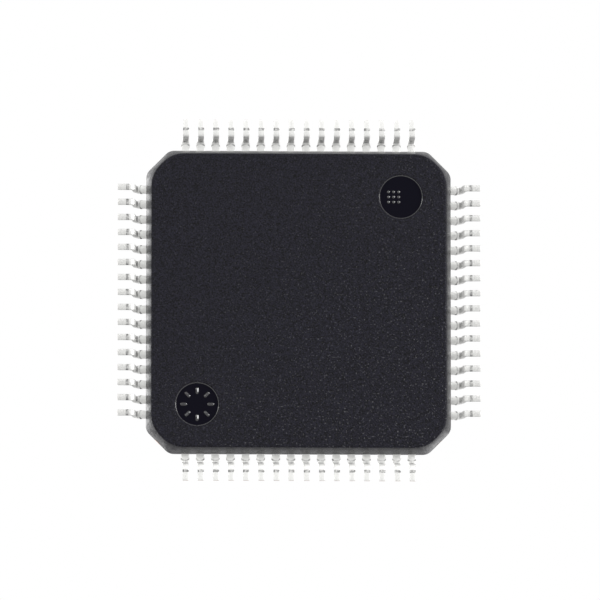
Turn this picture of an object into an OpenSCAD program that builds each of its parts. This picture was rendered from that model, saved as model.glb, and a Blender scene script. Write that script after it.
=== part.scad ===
// Quad flat pack chip: a moulded epoxy body round a lead frame, a bonded silicon die and its
// wires, with gull-wing leads on all four sides. It stands on its leads: the seating plane is
// z = 0, +Z points away from the circuit board, and the origin is under the body's centre.

/* [Body] */
// Width of the square body, without what its parting line stands out
body_w = 10; // [9.6:0.1:14]
// Thickness of the moulded body
body_t = 1.4; // [1.3:0.05:2]
// Gap between the body's underside and the seating plane
standoff = 0.1; // [0.05:0.01:0.15]
// Length that the chamfer takes off each side at a corner
corner_cut = 0.74; // [0.5:0.02:0.9]
// Radius that rounds both ends of the corner chamfer, at the parting line
corner_r = 0.4; // [0.1:0.05:0.6]
// Radius that rounds them at the top and bottom faces
face_corner_r = 0.9; // [0.4:0.05:1]
// Draft angle of the side walls, in degrees
draft = 15; // [8:1:16]
// Radius between a side wall and the top or bottom face
edge_r = 0.07; // [0.02:0.01:0.12]
// How far the parting line stands out past each side of the body's width
flash = 0.05; // [0.02:0.01:0.1]

/* [Leads] */
// Number of leads on each side
leads_per_side = 16; // [8:1:17]
// Distance from one lead to the next
lead_pitch = 0.5; // [0.36:0.01:0.54]
// Thickness of the lead frame
lead_t = 0.127; // [0.1:0.001:0.15]
// Width of a lead's riser and foot
lead_w = 0.2; // [0.16:0.01:0.24]
// Width of a lead over its cut dam-bar stubs, and inside the body's wall
stub_w = 0.26; // [0.24:0.01:0.3]
// Distance that the stubs reach out from the body
stub_len = 0.24; // [0.15:0.01:0.3]
// Length over which a stub tapers to the riser's width
stub_taper = 0.07; // [0.03:0.01:0.12]
// Distance from the body to a lead's tip, level with the board
lead_reach = 1; // [0.9:0.02:1.3]
// Length of a foot's flat sole
foot_len = 0.38; // [0.3:0.02:0.46]
// Radius on the inside of each bend
bend_r = 0.08; // [0.05:0.01:0.1]
// Lean of the riser away from vertical, in degrees
riser_lean = 6; // [0:1:12]

/* [Lead frame inside the body] */
// Width of the square die pad
pad_w = 4.8; // [4.2:0.1:5.2]
// Depth of the die pad below the level of the leads
pad_drop = 0.2; // [0.14:0.01:0.3]
// Width of the tie bars that held the die pad in its frame
tie_w = 0.24; // [0.16:0.02:0.3]
// Length of the slope in a tie bar
tie_slope = 0.3; // [0.2:0.02:0.5]
// Gap between the die pad and the inner tips of the leads
tip_gap = 0.3; // [0.2:0.02:0.5]
// Distance from one inner tip to the next
tip_pitch = 0.3; // [0.24:0.01:0.31]
// Width of an inner tip
tip_w = 0.17; // [0.12:0.01:0.2]
// Length of the straight inner tip that the wire is bonded to
tip_len = 0.3; // [0.2:0.02:0.6]
// Length of lead that runs straight in from the body's wall, before it fans in
entry_len = 0.5; // [0.3:0.02:0.7]

/* [Die] */
// Width of the square silicon die
die_w = 3.2; // [3:0.1:4]
// Thickness of the die
die_t = 0.28; // [0.2:0.01:0.32]
// Thickness of the die-attach epoxy under the die
attach_t = 0.02; // [0.01:0.005:0.04]
// How far the die-attach epoxy spreads past the die
attach_spread = 0.1; // [0.05:0.01:0.2]
// Distance from one bond pad to the next on the die
bond_pitch = 0.18; // [0.1:0.01:0.18]
// Distance of the bond pads' centres from the die's edge
bond_inset = 0.1; // [0.06:0.01:0.2]

/* [Bond wires] */
// Diameter of the gold wire
wire_d = 0.025; // [0.018:0.001:0.035]
// Height of the wire loop above the die
loop_h = 0.18; // [0.14:0.01:0.22]
// Radius of the bend at the top of the loop
loop_r = 0.06; // [0.04:0.005:0.08]
// Diameter of the ball squashed onto the die
ball_d = 0.065; // [0.05:0.005:0.08]
// Diameter of the stitch pressed onto the lead
stitch_d = 0.06; // [0.05:0.005:0.08]
// Distance of the stitch from the end of the inner tip
stitch_inset = 0.12; // [0.06:0.01:0.16]

/* [Mould marks] */
// Diameter of the ejector-pin recesses, two on each face
ejector_d = 1.5; // [0.8:0.1:1.8]
// Depth of the ejector-pin recesses
ejector_depth = 0.05; // [0.02:0.01:0.1]
// Width of the sloping wall round an ejector-pin recess
ejector_rim = 0.05; // [0.02:0.01:0.1]
// Distance of the ejector pins from the body's centre line, along X
ejector_x = 3.37; // [2.6:0.05:3.4]
// Distance of the ejector pins from the body's centre line, along Y
ejector_y = 3.46; // [2.6:0.05:3.5]
// Diameter of the dimple that marks lead 1, on the top face
dot_d = 0.6; // [0.4:0.05:1]
// Depth of the lead-1 dimple
dot_depth = 0.05; // [0.02:0.01:0.1]
// Distance of the lead-1 dimple from the two side walls beside it
dot_inset = 1.15; // [1:0.05:2]

/* [Hidden] */
$fn = 48;
slice = 0.001;                       // thickness of the outlines that the body is hulled from
clear_cut = 1;                       // how far a cutter runs out past the body's wall
edge_steps = 5;                      // levels in the rounding between a wall and a face
lead_count = 4 * leads_per_side;

lead_z = standoff + body_t / 2;      // mid-plane of the lead frame, where the mould parts
half_t = body_t / 2;
wall_run = (half_t - lead_t / 2) * tan(draft) - flash;   // from the body's width in to a face
pad_z = lead_z - pad_drop;           // mid-plane of the die pad
attach_z = pad_z + lead_t / 2;
die_z = attach_z + attach_t;
die_top = die_z + die_t;
lead_top = lead_z + lead_t / 2;

tip_x = body_w / 2 + lead_reach;     // outer end of a lead
ring_x = pad_w / 2 + tip_gap;        // inner end of a lead
mid_r = bend_r + lead_t / 2;
turn = 90 - riser_lean;
riser_len = (lead_z - lead_t / 2 - 2 * mid_r * (1 - cos(turn))) / sin(turn);
shoulder_x = tip_x - foot_len - 2 * mid_r * sin(turn) - riser_len * cos(turn);

corner_reach = (body_w - corner_cut) / sqrt(2);  // centre line to the corner chamfer

// Name of a node that holds the leads or wires from number `first` to number `last`
function number(n) = n < 10 ? str("0", n) : str(n);
function range_name(stem, first, last) = str(stem, "_", number(first), "_", number(last));
function lead_node(k) = range_name("leads", 2 * k + 1, 2 * k + 2);
function wire_node(k) = range_name("bond_wires", 4 * k + 1, 4 * k + 4);
lead_groups = lead_count / 2;
wire_groups = lead_count / 4;

// Leads are numbered from 1, counter-clockwise from the top: down the west side first.
// Each is drawn pointing along +X and turned to its side. row() is its place along that side,
// from -1/2 to +1/2 pitch steps about the middle.
function side_angle(n) = 180 + 90 * floor((n - 1) / leads_per_side);
function row(n) = (n - 1) % leads_per_side - (leads_per_side - 1) / 2;

module on_side(n) {
    rotate([0, 0, side_angle(n)]) children();
}

// ---- Body ----

// Square outline whose walls are moved in by `inset`, with chamfered corners. The chamfer's ends
// are rounded by `radius`, or by as much of it as the chamfer has room for.
module outline(inset, radius) {
    cut = corner_cut - (2 - sqrt(2)) * inset;
    r = min(radius, cut / (2 - sqrt(2)) - 0.02);
    h = body_w / 2 - inset - r;
    c = cut - (2 - sqrt(2)) * r;
    offset(r = r)
        polygon([
            [h, h - c], [h - c, h], [c - h, h], [-h, h - c],
            [-h, c - h], [c - h, -h], [h - c, -h], [h, c - h]
        ]);
}

// Levels of one half of the body: [height above the lead plane, inset, radius at the corners]
function wall_levels() = concat(
    [[lead_t / 2, -flash, corner_r]],
    [for (i = [0 : edge_steps]) let (a = draft + (90 - draft) * i / edge_steps)
        [half_t - edge_r * (1 - sin(a)), edge_inset() - edge_r * cos(a),
            face_corner_r + edge_r * cos(a)]]
);

// Inset of the centre line of the rounding between wall and face
function edge_inset() =
    (half_t - edge_r * (1 - sin(draft)) - lead_t / 2) * tan(draft) + edge_r * cos(draft) - flash;

module body_shell() {
    hull()
        for (side = [-1, 1], level = wall_levels())
            translate([0, 0, lead_z + side * (level[0] - slice / 2) - slice / 2])
                linear_extrude(slice) outline(level[1], level[2]);
}

// Shallow round recess with a sloping wall, cut down from the level it is drawn at
module round_recess(d, depth, rim) {
    translate([0, 0, -depth]) cylinder(d1 = d - 2 * rim, d2 = d, h = depth);
}

// The marks on one face, seen from its own side: ejector pins top right and bottom left
module ejector_marks() {
    for (s = [-1, 1])
        translate([s * ejector_x, s * ejector_y, 0])
            round_recess(ejector_d, ejector_depth, ejector_rim);
}

module lead_one_dimple() {
    p = body_w / 2 - wall_run - dot_inset;
    translate([-p, p, 0]) round_recess(dot_d, dot_depth, dot_depth);
}

module mold_body() {
    color([0.16, 0.155, 0.175])
        difference() {
            body_shell();
            translate([0, 0, standoff + body_t]) ejector_marks();
            translate([0, 0, standoff + body_t]) lead_one_dimple();
            translate([0, 0, standoff]) rotate([0, 180, 0]) ejector_marks();
            for (n = [1 : lead_count]) on_side(n) lead_blank(n);
            die_pad(clear_cut);
            die_attach();
            silicon_die();
            for (n = [1 : lead_count]) bond_wire(n);
        }
}

// ---- Lead frame ----

// Plan of lead n along +X: [distance out, place along the side, width] at each station
function lead_stations(n) = [
    [ring_x, row(n) * tip_pitch, tip_w],
    [ring_x + tip_len, row(n) * tip_pitch, tip_w],
    [body_w / 2 - entry_len, row(n) * lead_pitch, stub_w],
    [body_w / 2 + stub_len, row(n) * lead_pitch, stub_w],
    [body_w / 2 + stub_len + stub_taper, row(n) * lead_pitch, lead_w],
    [tip_x + clear_cut, row(n) * lead_pitch, lead_w]
];

module lead_plan(n) {
    st = lead_stations(n);
    polygon(concat(
        [for (s = st) [s[0], s[1] - s[2] / 2]],
        [for (i = [len(st) - 1 : -1 : 0]) [st[i][0], st[i][1] + st[i][2] / 2]]
    ));
}

// Lead n as it is stamped, still flat
module lead_blank(n) {
    translate([0, 0, lead_z - lead_t / 2]) linear_extrude(lead_t) lead_plan(n);
}

// Bend in a strip of metal of width w, drawn at the origin along +X. side is 1 to bend up and
// -1 to bend down, and the children are drawn along the strip where it leaves the bend.
module bend(w, side) {
    translate([0, 0, side * mid_r]) {
        rotate([90, 0, 0]) rotate([0, 0, side > 0 ? 270 : 90 - turn])
            rotate_extrude(angle = turn) translate([bend_r, -w / 2]) square([lead_t, w]);
        rotate([0, -side * turn, 0]) translate([0, 0, -side * mid_r]) children();
    }
}

module strip(length, w) {
    translate([0, -w / 2, -lead_t / 2]) cube([length, w, lead_t]);
}

// A sheet as wide as the body, bent the way that all the leads of one side are bent
module bent_sheet() {
    translate([ring_x, 0, lead_z]) {
        strip(shoulder_x - ring_x, body_w);
        translate([shoulder_x - ring_x, 0, 0])
            bend(body_w, -1) {
                strip(riser_len, body_w);
                translate([riser_len, 0, 0]) bend(body_w, 1) strip(foot_len, body_w);
            }
    }
}

module lead(n) {
    color([0.86, 0.86, 0.84])
        on_side(n)
            intersection() {
                bent_sheet();
                linear_extrude(lead_top + slice) lead_plan(n);
            }
}

// Square die pad, set below the leads, with a tie bar up to each corner of the body.
// `extra` lengthens the tie bars, to cut their way out of the body.
module die_pad(extra = 0) {
    corner = pad_w / sqrt(2);
    low = -pad_drop - lead_t / 2;
    end = corner_reach + flash + extra;
    color([0.8, 0.55, 0.35]) {
        translate([-pad_w / 2, -pad_w / 2, pad_z - lead_t / 2]) cube([pad_w, pad_w, lead_t]);
        for (a = [45 : 90 : 315])
            rotate([0, 0, a]) translate([0, tie_w / 2, lead_z]) rotate([90, 0, 0])
                linear_extrude(tie_w)
                    polygon([
                        [corner - tie_w, low], [corner, low],
                        [corner + tie_slope, -lead_t / 2], [end, -lead_t / 2],
                        [end, lead_t / 2], [corner + tie_slope, lead_t / 2],
                        [corner, low + lead_t], [corner - tie_w, low + lead_t]
                    ]);
    }
}

// ---- Die and wires ----

module die_attach() {
    w = die_w + 2 * attach_spread;
    color([0.75, 0.75, 0.78])
        translate([-w / 2, -w / 2, attach_z]) cube([w, w, attach_t]);
}

module silicon_die() {
    color([0.35, 0.36, 0.42])
        translate([-die_w / 2, -die_w / 2, die_z]) cube([die_w, die_w, die_t]);
}

// Wire n: a ball on the die, a short rise, a bend, and a straight run down to the lead's tip
module bond_wire(n) {
    from = [die_w / 2 - bond_inset, row(n) * bond_pitch];
    to = [ring_x + stitch_inset, row(n) * tip_pitch];
    span = norm(to - from);
    loop_z = die_top + loop_h - loop_r;
    fall = loop_z - (lead_top + wire_d / 2);
    reach = norm([span - loop_r, fall]);
    slope = atan2(fall, span - loop_r) + asin(loop_r / reach);
    dip = round(slope * 100) / 100;
    color([0.95, 0.75, 0.3])
        on_side(n)
            translate([from[0], from[1], 0])
                rotate([0, 0, atan2(to[1] - from[1], to[0] - from[0])]) {
                    translate([0, 0, die_top]) cylinder(d = ball_d, h = wire_d);
                    translate([0, 0, die_top]) cylinder(d = wire_d, h = loop_h - loop_r);
                    translate([loop_r, 0, loop_z]) {
                        rotate([90, 0, 0]) rotate([0, 0, 90 - dip])
                            rotate_extrude(angle = 90 + dip) translate([loop_r, 0]) circle(d = wire_d);
                        rotate([0, dip, 0]) translate([0, 0, loop_r]) rotate([0, 90, 0])
                            cylinder(d = wire_d, h = sqrt(reach * reach - loop_r * loop_r));
                    }
                    translate([span, 0, lead_top]) cylinder(d = stitch_d, h = wire_d);
                }
}

// ---- Nodes ----

mold_body();
die_pad();
die_attach();
silicon_die();
for (k = [0 : lead_groups - 1])
    for (n = [2 * k + 1, 2 * k + 2]) lead(n);
for (k = [0 : wire_groups - 1])
    for (n = [4 * k + 1 : 4 * k + 4]) bond_wire(n);
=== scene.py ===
"""Dresses a quad flat pack chip: grained epoxy body, plated gull-wing leads and the parts inside."""

import math

import bmesh
import bpy
from bpy.props import FloatProperty, FloatVectorProperty, IntProperty, PointerProperty
from mathutils import Matrix, Vector


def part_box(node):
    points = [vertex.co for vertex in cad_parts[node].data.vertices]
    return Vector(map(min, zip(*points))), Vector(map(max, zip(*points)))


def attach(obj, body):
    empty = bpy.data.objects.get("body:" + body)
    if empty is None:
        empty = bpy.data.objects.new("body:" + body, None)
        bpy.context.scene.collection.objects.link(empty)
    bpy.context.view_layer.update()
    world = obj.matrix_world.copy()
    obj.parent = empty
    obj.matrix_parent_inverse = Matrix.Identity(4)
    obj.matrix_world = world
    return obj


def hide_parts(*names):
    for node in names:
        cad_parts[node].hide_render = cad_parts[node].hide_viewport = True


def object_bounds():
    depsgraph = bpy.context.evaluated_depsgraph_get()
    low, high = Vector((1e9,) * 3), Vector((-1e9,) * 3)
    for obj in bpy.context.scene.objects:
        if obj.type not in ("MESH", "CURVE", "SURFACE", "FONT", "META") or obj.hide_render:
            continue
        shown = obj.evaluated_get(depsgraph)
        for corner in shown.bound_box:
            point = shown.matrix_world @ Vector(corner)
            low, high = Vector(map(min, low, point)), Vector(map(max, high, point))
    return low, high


bl_info = {
    "name": "Flat Pack Finish",
    "version": (1, 0, 0),
    "blender": (4, 5, 0),
    "location": "3D View > Sidebar > Flat Pack",
    "description": "Grained epoxy, plated leads and raised mould marks for a quad flat pack chip",
    "category": "Object",
}

MM = 0.001
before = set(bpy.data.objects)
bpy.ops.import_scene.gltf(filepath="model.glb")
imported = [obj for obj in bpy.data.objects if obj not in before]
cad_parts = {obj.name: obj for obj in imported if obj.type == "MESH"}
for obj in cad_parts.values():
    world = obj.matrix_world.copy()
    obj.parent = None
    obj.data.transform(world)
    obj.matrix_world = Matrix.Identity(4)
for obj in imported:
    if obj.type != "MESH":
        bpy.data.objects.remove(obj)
SOLID_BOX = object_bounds()
BODY_LOW, BODY_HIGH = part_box("mold_body")
BODY_MIDDLE = (BODY_LOW.z + BODY_HIGH.z) / 2
LEAD_NODES = sorted(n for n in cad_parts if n.startswith("leads_"))


def lead_layout():
    """Reads the lead count, pitches and reach from the solids of the east side."""
    per_side = len(LEAD_NODES) // 2
    first, second = LEAD_NODES[per_side], LEAD_NODES[per_side + 1]
    low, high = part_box(first)
    next_low, next_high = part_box(second)
    return {
        "per_side": per_side,
        "pitch": (next_low.y - low.y) / 2,
        "tip_pitch": (next_high.y - high.y) / 2,
        "inner_x": low.x,
        "toe_x": high.x,
        "top_z": high.z,
    }


LAYOUT = lead_layout()


# ---- Sizes and colours that a user would change ----


def length(name, about, mm):
    """A length, given in millimetres."""
    return FloatProperty(
        name=name,
        description=about,
        default=mm * MM,
        min=0,
        precision=6,
        subtype="DISTANCE",
        unit="LENGTH",
    )


def angle(name, about, degrees):
    """An angle, given in degrees."""
    return FloatProperty(
        name=name, description=about, default=math.radians(degrees), subtype="ANGLE"
    )


def share(name, about, value):
    """A number from 0 to 1."""
    return FloatProperty(name=name, description=about, default=value, min=0, max=1, subtype="FACTOR")


def colour(name, about, rgb):
    """A plain colour, in linear light."""
    return FloatVectorProperty(
        name=name, description=about, default=rgb, min=0, max=1, size=3, subtype="COLOR"
    )


class BodySettings(bpy.types.PropertyGroup):
    """Finish of the moulded epoxy body"""

    epoxy: colour("Epoxy", "Colour of the filled black epoxy", (0.0056, 0.0054, 0.0092))
    speck: colour("Specks", "Colour of the filler where it breaks the surface", (0.1, 0.1, 0.105))
    grain: length("Grain size", "Size of the grain that the spark-eroded mould leaves", 0.04)
    grain_depth: length("Grain depth", "Depth of that grain", 0.015)
    roughness: share("Roughness", "Roughness of the grained faces", 0.5)
    wall_roughness: share("Wall roughness", "Roughness of the side walls", 0.34)
    wall_sheen: share("Wall gloss", "How much gloss the mould's release leaves on the side walls", 0.75)
    polish: share("Polish", "Roughness where polished pins met the resin", 0.12)
    pin_x: length("Pin distance X", "Ejector pins from the centre line, along X", 3.37)
    pin_y: length("Pin distance Y", "Ejector pins from the centre line, along Y", 3.46)
    pin_radius: length("Pin radius", "Radius of the smooth round of an ejector pin", 0.75)
    dimple: length("Dimple place", "Lead-1 dimple from both centre lines", 3.729)
    dimple_radius: length("Dimple radius", "Radius of the lead-1 dimple", 0.3)


class LeadSettings(bpy.types.PropertyGroup):
    """Shape and plating of the gull-wing leads"""

    thickness: length("Thickness", "Thickness of the lead frame", 0.127)
    width: length("Width", "Width of the riser and foot", 0.2)
    pad_width: length("Pad width", "Width where a lead leaves the body", 0.255)
    stub_width: length("Stub width", "Width over the cut dam-bar stubs", 0.285)
    stub_end: length("Stub end", "Where the stubs start to taper, from the body's centre", 5.24)
    stub_taper: length("Stub taper", "Length of that taper", 0.17)
    inner_width: length("Inner width", "Width of the inner tip", 0.17)
    bend: length("Bend radius", "Radius on the inside of each bend", 0.08)
    foot: length("Foot", "Length of the flat sole", 0.38)
    lean: angle("Lean", "Lean of the riser", 6)
    edge: length("Edge", "Radius that the plating leaves on the lead's long edges", 0.02)
    unevenness: length("Unevenness", "How far a foot may stand to one side", 0.008)
    seed: IntProperty(name="Seed", description="Picks the small differences between leads", default=7)
    tin: colour("Tin", "Colour of the matte tin plating", (0.88, 0.88, 0.86))
    # Painted shade: colour of the dark bands painted on the bend start, the bend and the heel.
    lead_shade_colour: colour("Scuff", "Colour where the forming tool burnished the plating", (0.13, 0.13, 0.13))
    copper: colour("Copper", "Colour of the lead frame's copper alloy", (0.62, 0.3, 0.17))


class MarkSettings(bpy.types.PropertyGroup):
    """Raised pips and bars that stand on the floors of the ejector-pin rounds"""

    width: length("Width", "Width of a raised pip or bar", 0.12)
    height: length("Height", "Height of the pips and bars above the floor", 0.04)
    bar: length("Bar", "Length of a bar's ridge", 0.13)
    floor: length("Floor", "Depth of the round's floor below the face", 0.05)
    spacing: length("Spacing", "Distance from one pip to the next", 0.17)
    ring: length("Ring", "Radius of the ring of bars", 0.45)
    bars: IntProperty(name="Bars", description="Number of bars in the ring", default=8, min=3)
    fillet: length("Fillet", "Width of the fillet between a round's floor and the face", 0.06)
    aside: length("Grid place", "How far the grid stands from its round's middle", 0.24)


class StageSettings(bpy.types.PropertyGroup):
    """Floor, lamps and camera"""

    floor: colour("Floor", "Colour of the floor", (0.86, 0.86, 0.86))
    distance: length("Camera distance", "From the chip's centre to the camera", 350)
    lens: FloatProperty(name="Lens", description="Focal length in millimetres", default=634, min=1)
    south: angle("Tilt along Y", "Camera's tilt toward -Y", 6.6)
    east: angle("Tilt along X", "Camera's tilt toward +X", 2.0)
    aside: length("Aside", "How far the view's middle lies toward -X", 0.05)
    below: length("Below", "How far the view's middle lies toward +Y", 0.083)


# ---- Node trees ----


def put(tree, kind, inputs=None, **options):
    """Adds a node, sets its options, and fills its inputs with values or links."""
    made = tree.nodes.new(kind)
    made.location = (len(tree.nodes) % 8 * 190 - 1600, 300 - len(tree.nodes) // 8 * 260)
    for name, value in options.items():
        setattr(made, name, value)
    for key, value in (inputs or {}).items():
        if isinstance(value, bpy.types.NodeSocket):
            tree.links.new(value, made.inputs[key])
        else:
            made.inputs[key].default_value = value
    return made


def calc(tree, operation, a, b=None):
    """One sum on one or two values."""
    values = {0: a} if b is None else {0: a, 1: b}
    return put(tree, "ShaderNodeMath", values, operation=operation).outputs[0]


def ramp(tree, value, start, end, low=0.0, high=1.0, soft=False):
    """Maps a value from start..end to low..high, clamped."""
    inputs = {"Value": value, "From Min": start, "From Max": end, "To Min": low, "To Max": high}
    kind = "SMOOTHSTEP" if soft else "LINEAR"
    return put(tree, "ShaderNodeMapRange", inputs, interpolation_type=kind).outputs[0]


def blend(tree, mask, first, second):
    """Mixes two colours by a mask."""
    inputs = {0: mask, 6: first, 7: second}
    return put(tree, "ShaderNodeMix", inputs, data_type="RGBA").outputs[2]


def noise(tree, vector, scale, detail=2.0, rough=0.5):
    """Value of a soft random pattern."""
    inputs = {"Vector": vector, "Scale": scale, "Detail": detail, "Roughness": rough}
    return put(tree, "ShaderNodeTexNoise", inputs).outputs[0]


def rgba(rgb, scale=1.0):
    """A colour for a socket, made lighter or darker by a scale."""
    return (rgb[0] * scale, rgb[1] * scale, rgb[2] * scale, 1.0)


def new_group(name, inputs, outputs):
    """A shader node group with its input and output nodes."""
    tree = bpy.data.node_groups.new(name, "ShaderNodeTree")
    for label, kind, value in inputs:
        made = tree.interface.new_socket(name=label, in_out="INPUT", socket_type=kind)
        if value is not None:
            made.default_value = value
    for label in outputs:
        tree.interface.new_socket(name=label, in_out="OUTPUT", socket_type="NodeSocketFloat")
    return tree, put(tree, "NodeGroupInput").outputs, put(tree, "NodeGroupOutput").inputs


def spark_grain():
    """Grain of a spark-eroded mould: a height, and the specks where filler breaks the surface."""
    name = "spark_grain"
    if name in bpy.data.node_groups:
        return bpy.data.node_groups[name]
    tree, given, result = new_group(
        name,
        [("Vector", "NodeSocketVector", None), ("Grain Size", "NodeSocketFloat", 4e-5)],
        ["Height", "Tone", "Specks", "Clouds"],
    )
    scale = calc(tree, "DIVIDE", 1.0, given["Grain Size"])
    coarse = noise(tree, given["Vector"], scale, 1.5, 0.5)
    fine = noise(tree, given["Vector"], calc(tree, "MULTIPLY", scale, 0.73), 0.0)
    clouds = noise(tree, given["Vector"], calc(tree, "MULTIPLY", scale, 0.02), 3.0, 0.6)
    tree.links.new(coarse, result["Height"])
    tree.links.new(ramp(tree, coarse, 0.3, 0.72), result["Tone"])
    tree.links.new(ramp(tree, fine, 0.66, 0.9), result["Specks"])
    tree.links.new(clouds, result["Clouds"])
    return tree


def plating_mottle():
    """Mottle of an electroplated coat: tone, height, and blotches that come and go."""
    name = "plating_mottle"
    if name in bpy.data.node_groups:
        return bpy.data.node_groups[name]
    tree, given, result = new_group(
        name,
        [("Vector", "NodeSocketVector", None), ("Grain Size", "NodeSocketFloat", 3e-5)],
        ["Tone", "Height", "Blotches"],
    )
    scale = calc(tree, "DIVIDE", 1.0, given["Grain Size"])
    tone = noise(tree, given["Vector"], calc(tree, "MULTIPLY", scale, 0.5), 2.0, 0.6)
    height = noise(tree, given["Vector"], scale, 2.0, 0.6)
    blotch = noise(tree, given["Vector"], calc(tree, "MULTIPLY", scale, 0.35), 1.0, 0.5)
    tree.links.new(ramp(tree, tone, 0.3, 0.7), result["Tone"])
    tree.links.new(height, result["Height"])
    tree.links.new(ramp(tree, blotch, 0.4, 0.6, soft=True), result["Blotches"])
    return tree


def effect(tree, group, vector, size):
    """Places a shared effect in a material."""
    made = put(tree, "ShaderNodeGroup", node_tree=group)
    tree.links.new(vector, made.inputs["Vector"])
    made.inputs["Grain Size"].default_value = size
    return made.outputs


def new_material(name):
    """A material with a bare Principled shader, and its Object coordinates."""
    made = bpy.data.materials.new(name)
    made.use_nodes = True
    tree = made.node_tree
    tree.nodes.clear()
    surface = put(tree, "ShaderNodeBsdfPrincipled")
    output = put(tree, "ShaderNodeOutputMaterial")
    tree.links.new(surface.outputs[0], output.inputs["Surface"])
    return made, tree, surface, put(tree, "ShaderNodeTexCoord").outputs["Object"]


def join(tree, surface, **values):
    """Sets or links the shader's inputs: underscores stand for spaces."""
    for key, value in values.items():
        socket = surface.inputs[key.replace("_", " ")]
        if isinstance(value, bpy.types.NodeSocket):
            tree.links.new(value, socket)
        else:
            socket.default_value = value


def bump(tree, height, depth):
    """A small relief of the given depth."""
    inputs = {"Strength": 1.0, "Distance": depth, "Height": height}
    return put(tree, "ShaderNodeBump", inputs).outputs[0]


# ---- Materials ----

WALL_FADE = (0.25 * MM, 0.68 * MM)  # height off the parting line over which the gloss fades
WALL_PATCH = 0.13 * MM  # size of the glossier patches on the walls
TIN_GRAIN = 0.03 * MM
TIN_RELIEF = 0.0015 * MM


def inside_round(tree, x, y, at, radius):
    """1 where a point lies over a round at a fixed place, fading out at its rim."""
    dx, dy = calc(tree, "SUBTRACT", x, at[0]), calc(tree, "SUBTRACT", y, at[1])
    total = calc(tree, "ADD", calc(tree, "MULTIPLY", dx, dx), calc(tree, "MULTIPLY", dy, dy))
    away = calc(tree, "SQRT", total)
    return ramp(tree, away, radius - 0.02 * MM, radius - 0.01 * MM, 1.0, 0.0)


def polished_mask(tree, where, s):
    """1 inside the rounds that polished pins left, 0 on the grained resin."""
    x, y, z = put(tree, "ShaderNodeSeparateXYZ", {0: where}).outputs
    side = calc(tree, "SUBTRACT", z, BODY_MIDDLE)
    far_x, far_y = calc(tree, "ABSOLUTE", x), calc(tree, "ABSOLUTE", y)
    rounds = inside_round(tree, far_x, far_y, (s.pin_x, s.pin_y), s.pin_radius)
    turn = calc(tree, "MULTIPLY", calc(tree, "MULTIPLY", x, y), side)
    rounds = calc(tree, "MULTIPLY", rounds, calc(tree, "GREATER_THAN", turn, 0.0))
    dot = inside_round(tree, x, y, (-s.dimple, s.dimple), s.dimple_radius)
    dot = calc(tree, "MULTIPLY", dot, calc(tree, "GREATER_THAN", side, 0.0))
    return calc(tree, "MAXIMUM", rounds, dot)


def wall_mask(tree):
    """1 on the side walls, 0 on the level faces."""
    facing = put(tree, "ShaderNodeTexCoord").outputs["Normal"]
    z = put(tree, "ShaderNodeSeparateXYZ", {0: facing}).outputs[2]
    return ramp(tree, calc(tree, "ABSOLUTE", z), 0.55, 0.85, 1.0, 0.0)


def parting_wall(tree, z):
    """1 on the walls near the parting line, fading towards the faces, and 0 on the faces."""
    away = calc(tree, "ABSOLUTE", calc(tree, "SUBTRACT", z, BODY_MIDDLE))
    return calc(tree, "MULTIPLY", wall_mask(tree), ramp(tree, away, *WALL_FADE, 1.0, 0.1))


def epoxy_material(s):
    """Black filled epoxy with spark-eroded grain, glossier walls and polished rounds."""
    made, tree, surface, where = new_material("grained_epoxy")
    grain = effect(tree, spark_grain(), where, s.grain)
    polished = polished_mask(tree, where, s)
    rough = calc(tree, "SUBTRACT", 1.0, polished)
    x, y, z = put(tree, "ShaderNodeSeparateXYZ", {0: where}).outputs
    # Painted light: the bright specks are full towards -X-Y and thin out to a quarter towards +X+Y, as
    # if grazing light fell from that side.
    painted_speck_light = ramp(tree, calc(tree, "ADD", x, y), -8 * MM, 4 * MM, 1.0, 0.25)
    specks = calc(tree, "MULTIPLY", calc(tree, "MULTIPLY", grain["Specks"], rough), painted_speck_light)
    resin = blend(tree, grain["Tone"], rgba(s.epoxy, 0.0), rgba(s.epoxy, 2.6))
    resin = blend(tree, polished, resin, rgba(s.epoxy, 1.0))
    wall = parting_wall(tree, z)
    patches = ramp(tree, noise(tree, where, 1 / WALL_PATCH, 2.0), 0.38, 0.62, 0.45, 1.0)
    gloss = calc(tree, "MULTIPLY", calc(tree, "MULTIPLY", wall, patches), s.wall_sheen)
    dull = ramp(tree, wall, 0.0, 1.0, s.roughness, s.wall_roughness)
    dull = calc(tree, "MULTIPLY", dull, rough)
    dull = calc(tree, "ADD", dull, calc(tree, "MULTIPLY", polished, s.polish))
    join(
        tree,
        surface,
        Base_Color=blend(tree, specks, resin, rgba(s.speck)),
        Roughness=dull,
        Coat_Weight=gloss,
        Coat_Roughness=0.22,
        Normal=bump(tree, calc(tree, "MULTIPLY", grain["Height"], rough), s.grain_depth),
        Specular_IOR_Level=0.15,
    )
    return made


def mark_material(s):
    """The same epoxy, glossy as the pin that shaped it."""
    made, tree, surface, where = new_material("polished_epoxy")
    grain = effect(tree, spark_grain(), where, s.grain)
    join(
        tree,
        surface,
        Base_Color=blend(tree, grain["Tone"], rgba(s.epoxy, 0.6), rgba(s.epoxy, 0.9)),
        Roughness=ramp(tree, grain["Clouds"], 0.3, 0.7, s.polish, s.polish + 0.1),
        Normal=bump(tree, grain["Height"], s.grain_depth * 0.05),
        Coat_Weight=ramp(tree, grain["Clouds"], 0.3, 0.7, 1.0, 0.8),
        Coat_Roughness=0.1,
    )
    return made


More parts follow.
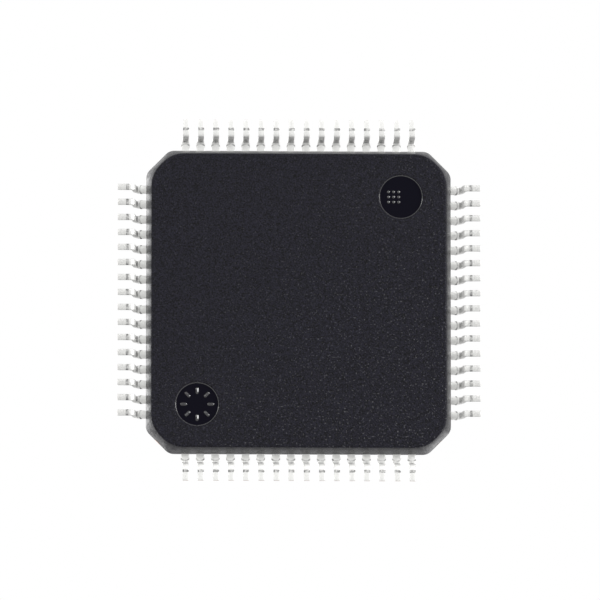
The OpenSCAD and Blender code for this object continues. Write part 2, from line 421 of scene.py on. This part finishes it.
def painted_lead_shade(tree, x, y, blotches, s, heel):
    """Painted shade on a lead: a dark arch where the flat pad meets the bend, at the cut stubs, and
    dark bands on the bend and at the heel.
    """
    across = put(tree, "ShaderNodeAttribute", attribute_name="across").outputs["Fac"]
    edge = calc(tree, "MULTIPLY", across, across)
    out = calc(tree, "MAXIMUM", calc(tree, "ABSOLUTE", x), calc(tree, "ABSOLUTE", y))
    arch = calc(tree, "ADD", out, calc(tree, "MULTIPLY", edge, 0.06 * MM))
    # Each band below is painted shade, not a tool mark.
    cut = window(tree, arch, s.stub_end + 0.015 * MM, s.stub_end + 0.055 * MM, 0.015 * MM)
    cut = calc(tree, "MULTIPLY", cut, ramp(tree, edge, 0.1, 0.8, 0.35, 1.0))
    bend = window(tree, out, s.stub_end + 0.1 * MM, s.stub_end + 0.14 * MM, 0.03 * MM)
    bend = calc(tree, "MULTIPLY", bend, ramp(tree, edge, 0.1, 0.5, 0.5, 0.0))
    heel_shade = window(tree, out, heel + 0.035 * MM, heel + 0.095 * MM, 0.03 * MM)
    heel_shade = calc(tree, "MULTIPLY", heel_shade, ramp(tree, edge, 0.1, 0.7, 0.7, 1.0))
    patchy = ramp(tree, blotches, 0.0, 1.0, 0.4, 1.0)
    marks = calc(tree, "MAXIMUM", calc(tree, "MAXIMUM", cut, bend), heel_shade)
    return calc(tree, "MULTIPLY", marks, patchy), out


def tin_material(s, toe_x):
    """Matte tin plating with painted light and shade: pads next to the body painted lighter, leads
    along X painted darker, and dark painted shade at the bend start, the bend and the heel; bare at the
    cut toe.
    """
    made, tree, surface, where = new_material("matte_tin")
    plating = effect(tree, plating_mottle(), where, TIN_GRAIN)
    x, y, _ = put(tree, "ShaderNodeSeparateXYZ", {0: where}).outputs
    marks, out = painted_lead_shade(tree, x, y, plating["Blotches"], s, toe_x - s.foot)
    along = calc(tree, "GREATER_THAN", calc(tree, "ABSOLUTE", x), calc(tree, "ABSOLUTE", y))
    tin = blend(tree, plating["Tone"], rgba(s.tin, 0.84), rgba(s.tin, 0.96))
    # Painted shade: the leads along X get a darker copy of the same tin than the leads along Y, for how
    # light falls on them.
    rolled = blend(tree, plating["Tone"], rgba(s.tin, 0.62), rgba(s.tin, 0.86))
    tin = blend(tree, along, tin, rolled)
    # Painted highlight: the tin on the pads next to the body is painted lighter, fading out towards the
    # bend.
    painted_pad_light = blend(tree, plating["Tone"], rgba(s.tin, 1.04), rgba(s.tin, 1.12))
    tin = blend(tree, ramp(tree, out, s.stub_end + 0.05 * MM, s.stub_end + 0.35 * MM), painted_pad_light, tin)
    # Painted shade: the dark bands on the bend start, the bend and the heel.
    tin = blend(tree, marks, tin, rgba(s.lead_shade_colour))
    bare = ramp(tree, out, toe_x - 0.002 * MM, toe_x - 0.001 * MM)
    join(
        tree,
        surface,
        Base_Color=blend(tree, calc(tree, "MULTIPLY", bare, 0.35), tin, rgba(s.copper)),
        Roughness=ramp(tree, plating["Tone"], 0.0, 1.0, 0.5, 0.4),
        Normal=bump(tree, plating["Height"], TIN_RELIEF),
        Metallic=ramp(tree, plating["Tone"], 0.0, 1.0, 0.35, 0.45),
    )
    return made


def window(tree, value, start, end, soft):
    """1 between start and end, fading to 0 on both sides."""
    rise = ramp(tree, value, start - soft, start, soft=True)
    fall = ramp(tree, value, end, end + soft, 1.0, 0.0, soft=True)
    return calc(tree, "MULTIPLY", rise, fall)


def copper_material(s):
    """Rolled copper alloy of the die pad and tie bars, dulled by oxide."""
    made, tree, surface, where = new_material("rolled_copper")
    rolled = put(tree, "ShaderNodeMapping", {"Vector": where, "Scale": (1.0, 6.0, 1.0)}).outputs[0]
    coat = effect(tree, plating_mottle(), rolled, 0.08 * MM)
    join(
        tree,
        surface,
        Base_Color=blend(tree, coat["Tone"], rgba(s.copper), rgba(s.copper, 0.6)),
        Roughness=ramp(tree, coat["Blotches"], 0.0, 1.0, 0.32, 0.5),
        Normal=bump(tree, coat["Height"], 0.001 * MM),
        Metallic=1.0,
    )
    return made


def silver_epoxy_material():
    """Die-attach paste: silver flakes in grey epoxy."""
    made, tree, surface, where = new_material("silver_flake_epoxy")
    flakes = effect(tree, spark_grain(), where, 0.012 * MM)
    join(
        tree,
        surface,
        Base_Color=blend(tree, flakes["Specks"], rgba((0.42, 0.42, 0.43)), rgba((0.85, 0.85, 0.86))),
        Roughness=ramp(tree, flakes["Clouds"], 0.3, 0.7, 0.35, 0.6),
        Metallic=ramp(tree, flakes["Specks"], 0.0, 1.0, 0.3, 0.9),
        Normal=bump(tree, flakes["Height"], 0.002 * MM),
    )
    return made


def silicon_material():
    """Die: blocks of fine circuitry under glass passivation, with plain sawn sides."""
    made, tree, surface, where = new_material("patterned_silicon")
    blocks = put(
        tree,
        "ShaderNodeTexBrick",
        {
            "Vector": where,
            "Color1": rgba((0.10, 0.09, 0.14)),
            "Color2": rgba((0.17, 0.16, 0.15)),
            "Mortar": rgba((0.42, 0.38, 0.3)),
            "Scale": 1.0,
            "Mortar Size": 0.012 * MM,
            "Brick Width": 0.62 * MM,
            "Row Height": 0.34 * MM,
        },
    )
    lines = put(tree, "ShaderNodeTexWave", {"Vector": where, "Scale": 9000.0}, bands_direction="X")
    rows = ramp(tree, lines.outputs["Fac"], 0.35, 0.65, 0.0, 0.25)
    cells = noise(tree, where, 16000.0, 0.0)
    toned = blend(tree, rows, blocks.outputs["Color"], rgba((0.45, 0.42, 0.5)))
    join(
        tree,
        surface,
        Base_Color=blend(tree, ramp(tree, cells, 0.55, 0.6, 0.0, 0.3), toned, rgba((0.05, 0.05, 0.09))),
        Roughness=ramp(tree, blocks.outputs["Fac"], 0.0, 1.0, 0.18, 0.3),
        Metallic=ramp(tree, blocks.outputs["Fac"], 0.0, 1.0, 0.25, 0.8),
        Normal=bump(tree, blocks.outputs["Fac"], 0.0008 * MM),
    )
    return made


def gold_material():
    """Drawn gold wire."""
    made, tree, surface, where = new_material("drawn_gold")
    coat = effect(tree, plating_mottle(), where, 0.01 * MM)
    join(
        tree,
        surface,
        Base_Color=blend(tree, coat["Tone"], rgba((0.95, 0.62, 0.2)), rgba((1.0, 0.72, 0.3))),
        Roughness=ramp(tree, coat["Blotches"], 0.0, 1.0, 0.18, 0.28),
        Normal=bump(tree, coat["Height"], 0.0004 * MM),
        Metallic=1.0,
    )
    return made


def dress(prefix, material):
    """Gives a finish to every solid whose name starts so."""
    for name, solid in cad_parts.items():
        if name.startswith(prefix):
            for place in solid.material_slots:
                place.material = material


# ---- Shapes ----


def skin(work, one, two):
    """Faces between two rings of points."""
    for i in range(len(one)):
        j = (i + 1) % len(one)
        work.faces.new((one[i], one[j], two[j], two[i]))


def strip_outline(half_width, half_height, radius, per_corner=4):
    """Outline across a lead: a flat strip with rounded long edges."""
    points = []
    for corner in range(4):
        side = 1 if corner in (0, 3) else -1
        level = 1 if corner < 2 else -1
        for i in range(per_corner):
            a = math.pi / 2 * (corner + i / (per_corner - 1))
            w = side * (half_width - radius) + radius * math.cos(a)
            points.append((w, level * (half_height - radius) + radius * math.sin(a)))
    return points


def lead_width(x, s):
    """Width of a lead where its centre line is x from the body's centre."""
    straight = LAYOUT["inner_x"] + 0.3 * MM
    entry = BODY_HIGH.x - 0.55 * MM
    cut = s.stub_end - 0.09 * MM
    for start, end, one, two in (
        (straight, entry, s.inner_width, s.pad_width),
        (cut, cut + 0.03 * MM, s.pad_width, s.stub_width),
        (s.stub_end, s.stub_end + s.stub_taper, s.stub_width, s.width),
    ):
        if x < end:
            return one + (two - one) * max(0.0, x - start) / (end - start)
    return s.width


def lead_run(s):
    """Centre line of a lead, from inner tip to toe: (distance out, height, tilt, size) stations."""
    mid = s.bend + s.thickness / 2
    turn = math.pi / 2 - s.lean
    level = LAYOUT["top_z"] - s.thickness / 2
    drop = level - s.thickness / 2
    riser = (drop - 2 * mid * (1 - math.cos(turn))) / math.sin(turn)
    toe = LAYOUT["toe_x"]
    shoulder = toe - s.foot - 2 * mid * math.sin(turn) - riser * math.cos(turn)
    inner = LAYOUT["inner_x"]
    flat = [inner + 0.3 * MM, BODY_HIGH.x - 0.55 * MM, BODY_HIGH.x - 0.05 * MM]
    flat += [s.stub_end - 0.09 * MM, s.stub_end - 0.06 * MM, s.stub_end]
    run = [(inner, level, 0.0, 0.9), (inner + 0.01 * MM, level, 0.0, 1.0)]
    run += [(x, level, 0.0, 1.0) for x in flat]
    steps = 8
    for i in range(steps + 1):
        a = turn * i / steps
        run.append((shoulder + mid * math.sin(a), level - mid * (1 - math.cos(a)), a, 1.0))
    x, z = run[-1][0] + riser * math.cos(turn), run[-1][1] - riser * math.sin(turn)
    run.append(((run[-1][0] + x) / 2, (run[-1][1] + z) / 2, turn, 1.0))
    for i in range(steps + 1):
        a = turn * (1 - i / steps)
        drop_here = mid * (math.cos(a) - math.cos(turn))
        run.append((x + mid * (math.sin(turn) - math.sin(a)), z - drop_here, a, 1.0))
    sole = run[-1][1]
    for part in (0.25, 0.5, 0.75):
        run.append((toe - s.foot * (1 - part), sole, 0.0, 1.0))
    run += [(toe - 0.02 * MM, sole, 0.0, 1.0), (toe - 0.006 * MM, sole, 0.0, 0.97)]
    return run + [(toe, sole, 0.0, 0.9)]


def lead_mesh(s):
    """One whole lead, pointing along +X, as a closed mesh."""
    work = bmesh.new()
    rings, across = [], []
    for x, z, tilt, size in lead_run(s):
        half = lead_width(x, s) / 2 * size
        outline = strip_outline(half, s.thickness / 2 * size, s.edge * size)
        across += [w / half for w, _ in outline]
        rings.append(
            [
                work.verts.new((x + h * math.sin(tilt), w, z + h * math.cos(tilt)))
                for w, h in outline
            ]
        )
    for one, two in zip(rings, rings[1:]):
        skin(work, one, two)
    work.faces.new(rings[0])
    work.faces.new(list(reversed(rings[-1])))
    bmesh.ops.recalc_face_normals(work, faces=work.faces)
    made = bpy.data.meshes.new("lead")
    work.to_mesh(made)
    work.free()
    made.attributes.new("across", "FLOAT", "POINT").data.foreach_set("value", across)
    return made


def comb_tree():
    """Repeats one lead along a side, fans its inner tips in, and turns the side to all four."""
    tree = bpy.data.node_groups.new("lead_comb", "GeometryNodeTree")
    face = tree.interface
    face.new_socket(name="Geometry", in_out="OUTPUT", socket_type="NodeSocketGeometry")
    face.new_socket(name="Geometry", in_out="INPUT", socket_type="NodeSocketGeometry")
    for name, kind in (
        ("Leads per Side", "Int"),
        ("Lead Pitch", "Float"),
        ("Tip Pitch", "Float"),
        ("Fan Start", "Float"),
        ("Fan End", "Float"),
        ("Bend Start", "Float"),
        ("Toe", "Float"),
        ("Unevenness", "Float"),
        ("Seed", "Int"),
        ("Finish", "Material"),
    ):
        face.new_socket(name=name, in_out="INPUT", socket_type="NodeSocket" + kind)
    given = put(tree, "NodeGroupInput").outputs
    row = place_in_row(tree, given["Leads per Side"])
    start = calc(tree, "MULTIPLY", calc(tree, "SUBTRACT", given["Leads per Side"], 1.0), -0.5)
    start = calc(tree, "MULTIPLY", start, given["Lead Pitch"])
    begin = put(tree, "ShaderNodeCombineXYZ", {1: start}).outputs[0]
    step = put(tree, "ShaderNodeCombineXYZ", {1: given["Lead Pitch"]}).outputs[0]
    line = put(
        tree,
        "GeometryNodeMeshLine",
        {"Count": given["Leads per Side"], "Start Location": begin, "Offset": step},
        mode="OFFSET",
    ).outputs[0]
    side = put(
        tree, "GeometryNodeInstanceOnPoints", {"Points": line, "Instance": given["Geometry"]}
    ).outputs[0]
    side = keep(tree, side, "row", row)
    side = put(tree, "GeometryNodeRealizeInstances", {"Geometry": side}).outputs[0]
    side = fan_in(tree, side, given)
    corners = put(tree, "GeometryNodeMeshLine", {"Count": 4}, mode="OFFSET")
    corners.inputs["Offset"].default_value = (0, 0, 0)
    index = put(tree, "GeometryNodeInputIndex").outputs[0]
    angle = calc(tree, "MULTIPLY", index, math.pi / 2)
    turned = put(
        tree,
        "GeometryNodeInstanceOnPoints",
        {
            "Points": corners.outputs[0],
            "Instance": side,
            "Rotation": put(tree, "ShaderNodeCombineXYZ", {2: angle}).outputs[0],
        },
    ).outputs[0]
    turned = keep(tree, turned, "side", index)
    whole = put(tree, "GeometryNodeRealizeInstances", {"Geometry": turned}).outputs[0]
    whole = lean_aside(tree, whole, given)
    smooth = put(tree, "GeometryNodeSetShadeSmooth", {"Geometry": whole}).outputs[0]
    done = put(
        tree, "GeometryNodeSetMaterial", {"Geometry": smooth, "Material": given["Finish"]}
    ).outputs[0]
    put(tree, "NodeGroupOutput", {0: done})
    return tree


def place_in_row(tree, count):
    """Place of an instance along its side, counted from the middle."""
    index = put(tree, "GeometryNodeInputIndex").outputs[0]
    middle = calc(tree, "MULTIPLY", calc(tree, "SUBTRACT", count, 1.0), 0.5)
    return calc(tree, "SUBTRACT", index, middle)


def keep(tree, geometry, name, value):
    """Writes a value on each instance."""
    inputs = {"Geometry": geometry, "Name": name, "Value": value}
    return put(
        tree, "GeometryNodeStoreNamedAttribute", inputs, data_type="FLOAT", domain="INSTANCE"
    ).outputs[0]


def recall(tree, name):
    """Reads back a value that keep() wrote."""
    return put(tree, "GeometryNodeInputNamedAttribute", {"Name": name}, data_type="FLOAT").outputs[0]


def fan_in(tree, geometry, given):
    """Moves the inner ends sideways, from the lead pitch to the tip pitch."""
    x = put(
        tree, "ShaderNodeSeparateXYZ", {0: put(tree, "GeometryNodeInputPosition").outputs[0]}
    ).outputs[0]
    part = ramp(tree, x, given["Fan Start"], given["Fan End"])
    shift = calc(tree, "SUBTRACT", given["Tip Pitch"], given["Lead Pitch"])
    shift = calc(tree, "MULTIPLY", calc(tree, "MULTIPLY", shift, part), recall(tree, "row"))
    offset = put(tree, "ShaderNodeCombineXYZ", {1: shift}).outputs[0]
    return put(tree, "GeometryNodeSetPosition", {"Geometry": geometry, "Offset": offset}).outputs[0]


def lean_aside(tree, geometry, given):
    """Stands each foot a hair to one side, as formed leads do."""
    where = put(tree, "GeometryNodeInputPosition").outputs[0]
    x, y, _ = put(tree, "ShaderNodeSeparateXYZ", {0: where}).outputs
    out = calc(tree, "MAXIMUM", calc(tree, "ABSOLUTE", x), calc(tree, "ABSOLUTE", y))
    part = ramp(tree, out, given["Bend Start"], given["Toe"], soft=True)
    lead = calc(
        tree, "ADD", calc(tree, "MULTIPLY", recall(tree, "side"), 97.0), recall(tree, "row")
    )
    chance = put(tree, "FunctionNodeRandomValue", data_type="FLOAT")
    chance.inputs["Min"].default_value = -1.0
    tree.links.new(calc(tree, "ADD", lead, 50.5), chance.inputs["ID"])
    tree.links.new(given["Seed"], chance.inputs["Seed"])
    value = next(o for o in chance.outputs if o.enabled)
    shift = calc(tree, "MULTIPLY", calc(tree, "MULTIPLY", value, part), given["Unevenness"])
    odd = calc(tree, "MODULO", recall(tree, "side"), 2.0)
    even = calc(tree, "SUBTRACT", 1.0, odd)
    offset = put(
        tree,
        "ShaderNodeCombineXYZ",
        {0: calc(tree, "MULTIPLY", shift, odd), 1: calc(tree, "MULTIPLY", shift, even)},
    ).outputs[0]
    return put(tree, "GeometryNodeSetPosition", {"Geometry": geometry, "Offset": offset}).outputs[0]


def grow(name, mesh, tree, values):
    """Runs a geometry tree on a mesh and keeps the result as a plain mesh object."""
    made = bpy.data.objects.new(name, mesh)
    bpy.context.scene.collection.objects.link(made)
    step = made.modifiers.new("grow", "NODES")
    step.node_group = tree
    for item in tree.interface.items_tree:
        if item.in_out == "INPUT" and item.name in values:
            step[item.identifier] = values[item.name]
    graph = bpy.context.evaluated_depsgraph_get()
    graph.update()
    plain = bpy.data.meshes.new_from_object(made.evaluated_get(graph))
    made.modifiers.remove(step)
    made.data = plain
    plain.name = name
    for extra in ("row", "side"):
        if extra in plain.attributes:
            plain.attributes.remove(plain.attributes[extra])
    return made


def ridge_mesh(s, ridge):
    """One raised mark with sloping sides: a round pip, or a bar where it has a ridge."""
    work = bmesh.new()
    half, rings = s.width / 2, []
    for reach, rise in ((1.0, -0.15), (1.0, 0.0), (0.6, 0.42), (0.22, 0.8), (0.08, 0.9)):
        ring = []
        for i in range(16):
            a = math.tau * (i + 0.5) / 16
            along = math.copysign(ridge / 2, math.cos(a))
            x, y = along + half * reach * math.cos(a), half * reach * math.sin(a)
            ring.append(work.verts.new((x, y, -s.height * rise)))
        rings.append(ring)
    for one, two in zip(rings, rings[1:]):
        skin(work, one, two)
    work.faces.new(rings[0])
    work.faces.new(rings[-1])
    bmesh.ops.recalc_face_normals(work, faces=work.faces)
    made = bpy.data.meshes.new("mark")
    work.to_mesh(made)
    work.free()
    return made


def fillet_stations(s, outer):
    """Outline of the fillet, as (radius, height): a slope that sags, and a hidden back."""
    floor, face, steps, sag_share = BODY_LOW.z + s.floor, BODY_LOW.z, 6, 0.07
    stations = []
    for i in range(steps + 1):
        part = i / steps
        sag = sag_share * math.sin(math.pi * part)
        reach = outer - s.fillet * (1 - part + sag)
        stations.append((reach, floor + (face - floor) * (part - sag)))
    back, lift, sink = outer + 0.006 * MM, face + 0.004 * MM, floor + 0.01 * MM
    return stations + [(back, lift), (back, sink), (outer - s.fillet, sink)]


def fillet_mesh(s, body, count=96):
    """Hollow fillet round the foot of the wall of each of the underside's two rounds."""
    work = bmesh.new()
    stations = fillet_stations(s, body.pin_radius + 0.004 * MM)
    for sign in (-1, 1):
        rings = []
        for r, z in stations:
            ring = []
            for i in range(count):
                a = math.tau * i / count
                x, y = sign * body.pin_x + r * math.cos(a), -sign * body.pin_y + r * math.sin(a)
                ring.append(work.verts.new((x, y, z)))
            rings.append(ring)
        for one, two in zip(rings, rings[1:] + rings[:1]):
            skin(work, one, two)
    bmesh.ops.recalc_face_normals(work, faces=work.faces)
    made = bpy.data.meshes.new("round_fillets")
    work.to_mesh(made)
    work.free()
    made.shade_smooth()
    return made


def marks_tree(name, inputs, places):
    """A tree that stands the mark at the places that a function makes, and gives it its finish."""
    tree = bpy.data.node_groups.new(name, "GeometryNodeTree")
    face = tree.interface
    face.new_socket(name="Geometry", in_out="OUTPUT", socket_type="NodeSocketGeometry")
    face.new_socket(name="Geometry", in_out="INPUT", socket_type="NodeSocketGeometry")
    for label, kind in (*inputs, ("Centre", "Vector"), ("Finish", "Material")):
        face.new_socket(name=label, in_out="INPUT", socket_type="NodeSocket" + kind)
    given = put(tree, "NodeGroupInput").outputs
    points, turn = places(tree, given)
    marks = put(
        tree,
        "GeometryNodeInstanceOnPoints",
        {"Points": points, "Instance": given["Geometry"], "Rotation": turn},
    ).outputs[0]
    marks = put(tree, "GeometryNodeRealizeInstances", {"Geometry": marks}).outputs[0]
    moved = {"Geometry": marks, "Offset": given["Centre"]}
    marks = put(tree, "GeometryNodeSetPosition", moved).outputs[0]
    marks = put(tree, "GeometryNodeSetShadeSmooth", {"Geometry": marks}).outputs[0]
    finish = {"Geometry": marks, "Material": given["Finish"]}
    put(tree, "NodeGroupOutput", {0: put(tree, "GeometryNodeSetMaterial", finish).outputs[0]})
    return tree


def grid_places(tree, given):
    """Rows and columns of marks about the centre."""
    inputs = {"Vertices X": given["Columns"], "Vertices Y": given["Rows"]}
    for axis, count in (("X", "Columns"), ("Y", "Rows")):
        gaps = calc(tree, "SUBTRACT", given[count], 1.0)
        inputs["Size " + axis] = calc(tree, "MULTIPLY", gaps, given["Spacing"])
    grid = put(tree, "GeometryNodeMeshGrid", inputs).outputs["Mesh"]
    return grid, put(tree, "ShaderNodeCombineXYZ").outputs[0]


def ring_places(tree, given):
    """A ring of marks that all point away from the centre."""
    inputs = {"Vertices": given["Marks"], "Radius": given["Radius"]}
    ring = put(tree, "GeometryNodeMeshCircle", inputs).outputs[0]
    turn = calc(tree, "DIVIDE", math.tau, given["Marks"])
    turn = calc(tree, "MULTIPLY", put(tree, "GeometryNodeInputIndex").outputs[0], turn)
    return ring, put(tree, "ShaderNodeCombineXYZ", {2: turn}).outputs[0]


# ---- Stage ----


def floor_material(s):
    """Pale floor that is seen and shaded from above only."""
    made, tree, surface, where = new_material("pale_floor")
    mottle = noise(tree, where, 40.0, 3.0)
    tone = blend(tree, ramp(tree, mottle, 0.3, 0.7), rgba(s.floor, 0.99), rgba(s.floor, 1.01))
    join(tree, surface, Base_Color=tone, Roughness=0.9, Specular_IOR_Level=0.0)
    clear = put(tree, "ShaderNodeBsdfTransparent").outputs[0]
    under = put(tree, "ShaderNodeNewGeometry").outputs["Backfacing"]
    mixed = put(tree, "ShaderNodeMixShader", {0: under, 1: surface.outputs[0], 2: clear}).outputs[0]
    output = next(n for n in tree.nodes if n.bl_idname == "ShaderNodeOutputMaterial")
    tree.links.new(mixed, output.inputs["Surface"])
    return made


def add_floor(s):
    """A wide floor just under the soles of the leads."""
    half, z = 1.5, -0.002 * MM
    mesh = bpy.data.meshes.new("floor")
    corners = [(-half, -half, z), (half, -half, z), (half, half, z), (-half, half, z)]
    mesh.from_pydata(corners, [], [(0, 1, 2, 3)])
    mesh.materials.append(floor_material(s))
    made = bpy.data.objects.new("floor", mesh)
    bpy.context.scene.collection.objects.link(made)
    made.visible_shadow = False
    made.visible_diffuse = False
    made.visible_glossy = False


LAMPS = (  # name, place in metres, width in metres, radiance
    ("top_key", (0.18, 0.02, 0.34), 0.26, 1.8),
    ("top_fill", (-0.2, -0.2, 0.3), 0.2, 1.2),
    ("rim_key", (-0.29, 0.07, -0.12), 0.13, 14.0),
    ("rim_fill", (0.3, 0.12, -0.12), 0.12, 3.0),
    ("front_key", (0.17, 0.13, -0.3), 0.14, 4.5),
    ("front_fill", (-0.12, 0.2, -0.3), 0.14, 3.0),
)


def add_lamp(name, place, size, radiance):
    """A square soft lamp aimed at the chip; radiance 1 is as bright as the white backdrop."""
    light = bpy.data.lights.new(name, "AREA")
    light.shape = "SQUARE"
    light.size = size
    light.energy = radiance * math.pi * size * size
    made = bpy.data.objects.new(name, light)
    bpy.context.scene.collection.objects.link(made)
    made.location = place
    made.rotation_mode = "QUATERNION"
    made.rotation_quaternion = Vector(place).to_track_quat("Z", "Y")
    made.visible_camera = False


GLOSSY_LEVELS = (  # what shines in the chip, from straight below (0) to straight above (1)
    (0.0, 0.02),
    (0.009, 0.03),
    (0.032, 0.85),
    (0.6, 1.0),
    (0.92, 0.9),
    (0.99, 0.32),
)
SOFT_LEVEL = 0.7  # strength of the backdrop on matt surfaces


def add_world():
    """White backdrop; what shines in the chip dims toward the lens and straight above the chip."""
    world = bpy.data.worlds.new("studio")
    bpy.context.scene.world = world
    world.use_nodes = True
    tree = world.node_tree
    tree.nodes.clear()
    rays = put(tree, "ShaderNodeLightPath").outputs
    way = put(tree, "ShaderNodeTexCoord").outputs["Generated"]
    z = put(tree, "ShaderNodeSeparateXYZ", {0: way}).outputs[2]
    tent = put(tree, "ShaderNodeValToRGB", {0: ramp(tree, z, -1.0, 1.0)})
    stops = tent.color_ramp.elements
    while len(stops) < len(GLOSSY_LEVELS):
        stops.new(0.5)
    for stop, (at, level) in zip(stops, GLOSSY_LEVELS):
        stop.position = at
        stop.color = (level, level, level, 1)
    seen = calc(tree, "MAXIMUM", rays["Is Camera Ray"], rays["Is Transmission Ray"])
    backdrop = blend(tree, seen, tent.outputs[0], (1, 1, 1, 1))
    shown = calc(tree, "MAXIMUM", seen, rays["Is Glossy Ray"])
    bright = put(tree, "ShaderNodeBackground", {"Color": backdrop, "Strength": 1.0}).outputs[0]
    soft = {"Color": (1, 1, 1, 1), "Strength": SOFT_LEVEL}
    soft = put(tree, "ShaderNodeBackground", soft).outputs[0]
    mixed = put(tree, "ShaderNodeMixShader", {0: shown, 1: soft, 2: bright}).outputs[0]
    put(tree, "ShaderNodeOutputWorld", {"Surface": mixed})


def add_camera(s):
    """Camera under the chip, looking up at its underside, with +Y at the top of the view."""
    data = bpy.data.cameras.new("camera")
    data.sensor_width = 36
    data.lens = s.lens
    data.clip_start = 0.01
    made = bpy.data.objects.new("camera", data)
    bpy.context.scene.collection.objects.link(made)
    back = Vector((math.sin(s.east), -math.sin(s.south), -1.0))
    back.z = -math.sqrt(1 - back.x**2 - back.y**2)
    right = Vector((0, 1, 0)).cross(back).normalized()
    up = back.cross(right)
    low, high = SOLID_BOX
    target = (low + high) / 2 - right * -s.aside + up * s.below
    turn = Matrix((right, up, back)).transposed().to_4x4()
    made.matrix_world = Matrix.Translation(target + back * s.distance) @ turn
    bpy.context.scene.camera = made


# ---- Operators ----


class FLATPACK_OT_body(bpy.types.Operator):
    """Finish the moulded body with grained epoxy and polished rounds"""

    bl_idname = "flatpack.body"
    bl_label = "Finish Moulded Body"

    def execute(self, context):
        dress("mold_body", epoxy_material(context.scene.flatpack_body))
        return {"FINISHED"}


class FLATPACK_OT_leads(bpy.types.Operator):
    """Form and plate the leads of all four sides"""

    bl_idname = "flatpack.leads"
    bl_label = "Form Leads"

    def execute(self, context):
        s = context.scene.flatpack_leads
        run = lead_run(s)
        bend_start = next(x for x, _, tilt, _ in run if tilt > 0)
        values = {
            "Leads per Side": LAYOUT["per_side"],
            "Lead Pitch": LAYOUT["pitch"],
            "Tip Pitch": LAYOUT["tip_pitch"],
            "Fan Start": BODY_HIGH.x - 0.55 * MM,
            "Fan End": LAYOUT["inner_x"] + 0.3 * MM,
            "Bend Start": bend_start,
            "Toe": LAYOUT["toe_x"],
            "Unevenness": s.unevenness,
            "Seed": s.seed,
            "Finish": tin_material(s, LAYOUT["toe_x"]),
        }
        leads = grow("gull_wing_leads", lead_mesh(s), comb_tree(), values)
        if len(leads.data.polygons) < len(LEAD_NODES) * 200:
            raise RuntimeError("the leads didn't come out of their geometry tree")
        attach(leads, "root")
        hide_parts(*LEAD_NODES)
        return {"FINISHED"}


class FLATPACK_OT_marks(bpy.types.Operator):
    """Stand raised pips and bars on the floors of the underside's rounds"""

    bl_idname = "flatpack.marks"
    bl_label = "Add Raised Marks"

    def execute(self, context):
        s, body = context.scene.flatpack_marks, context.scene.flatpack_body
        finish = mark_material(body)
        floor = BODY_LOW.z + s.floor
        grid = marks_tree(
            "tally_grid", (("Rows", "Int"), ("Columns", "Int"), ("Spacing", "Float")), grid_places
        )
        middle = Vector((s.aside - body.pin_x, body.pin_y, floor))
        values = {"Rows": 3, "Columns": 3, "Spacing": s.spacing, "Centre": middle, "Finish": finish}
        pips = grow("tally_pips", ridge_mesh(s, 0.0), grid, values)
        ring = marks_tree("dial_ring", (("Marks", "Int"), ("Radius", "Float")), ring_places)
        middle = Vector((body.pin_x, -body.pin_y, floor))
        values = {"Marks": s.bars, "Radius": s.ring, "Centre": middle, "Finish": finish}
        bars = grow("dial_bars", ridge_mesh(s, s.bar), ring, values)
        fillets = bpy.data.objects.new("round_fillets", fillet_mesh(s, body))
        context.scene.collection.objects.link(fillets)
        fillets.data.materials.append(finish)
        for piece in (pips, bars, fillets):
            if not piece.data.polygons:
                raise RuntimeError(f"{piece.name} came out empty")
            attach(piece, "root")
        return {"FINISHED"}


class FLATPACK_OT_inside(bpy.types.Operator):
    """Finish the die pad, die attach, die and bond wires"""

    bl_idname = "flatpack.inside"
    bl_label = "Finish Inner Parts"

    def execute(self, context):
        dress("die_pad", copper_material(context.scene.flatpack_leads))
        dress("die_attach", silver_epoxy_material())
        dress("silicon_die", silicon_material())
        dress("bond_wires", gold_material())
        return {"FINISHED"}


class FLATPACK_OT_stage(bpy.types.Operator):
    """Add the floor, backdrop, lamps and camera"""

    bl_idname = "flatpack.stage"
    bl_label = "Set Stage"

    def execute(self, context):
        s = context.scene.flatpack_stage
        context.scene.view_settings.view_transform = "Standard"
        add_world()
        add_floor(s)
        for lamp in LAMPS:
            add_lamp(*lamp)
        add_camera(s)
        return {"FINISHED"}


class FLATPACK_PT_panel(bpy.types.Panel):
    """Lists the steps that dress the chip"""

    bl_idname = "FLATPACK_PT_panel"
    bl_label = "Flat Pack"
    bl_space_type = "VIEW_3D"
    bl_region_type = "UI"
    bl_category = "Flat Pack"

    def draw(self, context):
        for step, group in STEPS:
            self.layout.operator(step.bl_idname)
            if group:
                settings = getattr(context.scene, group)
                for name in type(settings).__annotations__:
                    self.layout.prop(settings, name)


GROUPS = (
    ("flatpack_body", BodySettings),
    ("flatpack_leads", LeadSettings),
    ("flatpack_marks", MarkSettings),
    ("flatpack_stage", StageSettings),
)
STEPS = (
    (FLATPACK_OT_body, "flatpack_body"),
    (FLATPACK_OT_leads, "flatpack_leads"),
    (FLATPACK_OT_marks, "flatpack_marks"),
    (FLATPACK_OT_inside, None),
    (FLATPACK_OT_stage, "flatpack_stage"),
)


def register():
    for name, group in GROUPS:
        bpy.utils.register_class(group)
        setattr(bpy.types.Scene, name, PointerProperty(type=group))
    for step, _ in STEPS:
        bpy.utils.register_class(step)
    bpy.utils.register_class(FLATPACK_PT_panel)


def unregister():
    bpy.utils.unregister_class(FLATPACK_PT_panel)
    for step, _ in reversed(STEPS):
        bpy.utils.unregister_class(step)
    for name, group in reversed(GROUPS):
        delattr(bpy.types.Scene, name)
        bpy.utils.unregister_class(group)


def main():
    """Dresses the chip step by step."""
    register()
    bpy.ops.flatpack.body()
    bpy.ops.flatpack.leads()
    bpy.ops.flatpack.marks()
    bpy.ops.flatpack.inside()
    bpy.ops.flatpack.stage()


if __name__ == "__main__":
    main()
